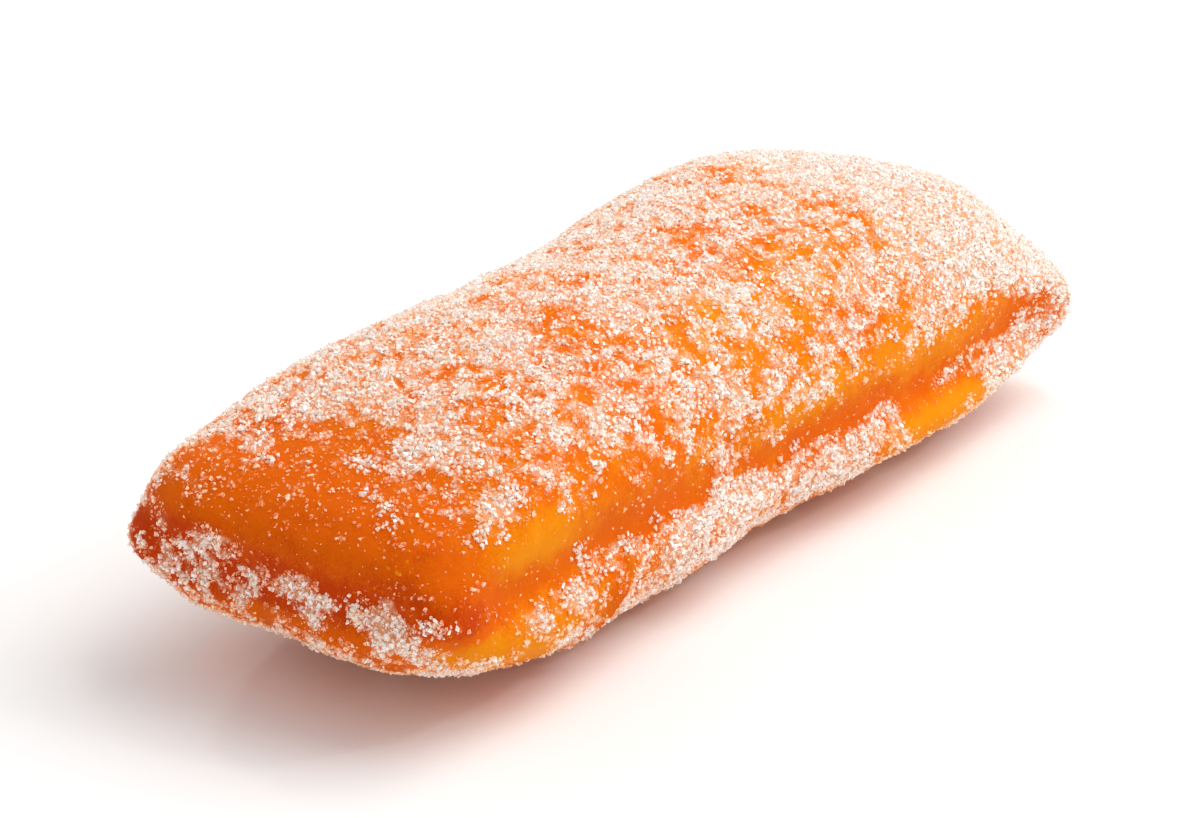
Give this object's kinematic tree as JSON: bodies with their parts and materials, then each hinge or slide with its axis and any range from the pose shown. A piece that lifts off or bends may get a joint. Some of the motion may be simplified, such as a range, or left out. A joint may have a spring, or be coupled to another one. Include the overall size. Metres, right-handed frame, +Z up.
{
  "type": "beignet",
  "caption": "Long fried beignet, a soft pillow of dough with a crease round its waist, coated in granulated sugar.",
  "frame": {"origin": "centre of the bounding box, on the flat base that the beignet lies on", "axes": "+X along the beignet's length, +Y across its width, +Z up from its base to its crown"},
  "size_m": [0.1424, 0.0526, 0.0383],
  "materials": {
    "fried_crust": "golden brown fried crust, softly glossy, darker in the crease round the waist",
    "granulated_sugar": "loose granulated sugar crystals, clear to white, sparkling"
  },
  "bodies": {
    "root": {"beignet": "fried_crust"}
  },
  "joints": []
}
